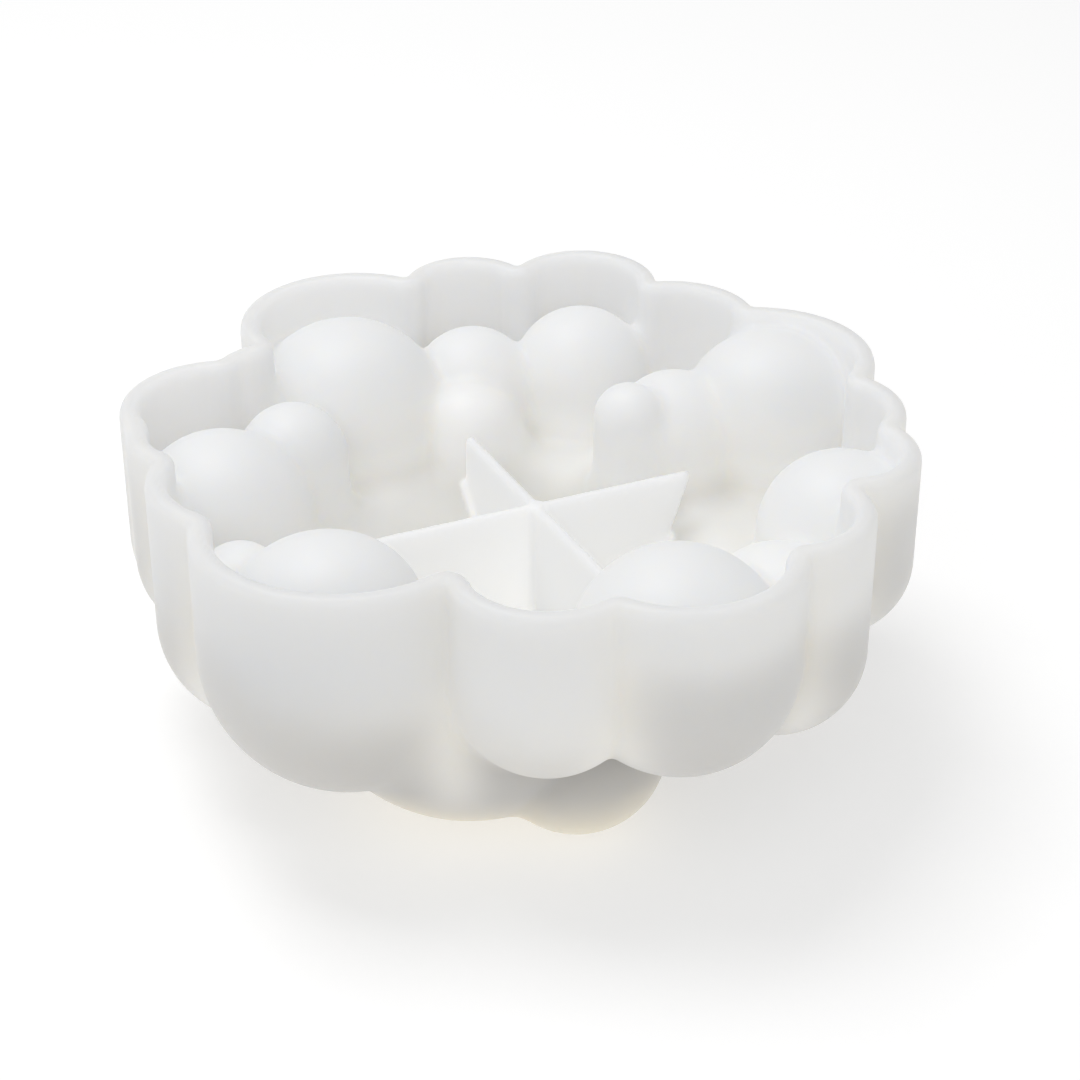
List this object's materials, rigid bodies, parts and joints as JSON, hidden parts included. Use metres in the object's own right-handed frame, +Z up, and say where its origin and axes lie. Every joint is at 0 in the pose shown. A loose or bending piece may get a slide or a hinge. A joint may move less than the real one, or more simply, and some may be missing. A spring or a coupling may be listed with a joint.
{
  "type": "resin casting mould",
  "caption": "Open-top cloud-shaped silicone casting mould with a scalloped wall, ball lobes below, rounded cores inside and two thin plates crossing in the middle.",
  "frame": {"origin": "middle of the footprint, on the plane that the mould stands on", "axes": "+Z up through the open top, -Y towards the front lobe, +X to the right"},
  "size_m": [0.11, 0.11, 0.049],
  "materials": {
    "silicone_wall": "translucent satin",
    "silicone_base": "translucent satin",
    "silicone_core": "translucent satin",
    "silicone_fin": "translucent satin"
  },
  "bodies": {
    "root": {"rim_wall": "silicone_wall", "lobed_base": "silicone_base", "foot_front_left": "silicone_base", "foot_front": "silicone_base", "foot_right": "silicone_base", "foot_back": "silicone_base", "foot_left": "silicone_base", "core_back_left": "silicone_core", "core_back": "silicone_core", "core_back_inner": "silicone_core", "core_back_right": "silicone_core", "core_right_inner": "silicone_core", "core_right_small": "silicone_core", "core_right_back": "silicone_core", "core_right": "silicone_core", "core_right_front": "silicone_core", "core_front_right": "silicone_core", "core_front_left": "silicone_core", "core_left_front": "silicone_core", "core_left": "silicone_core", "core_left_back": "silicone_core", "fin_across": "silicone_fin", "fin_back": "silicone_fin", "fin_front": "silicone_fin"}
  },
  "joints": []
}
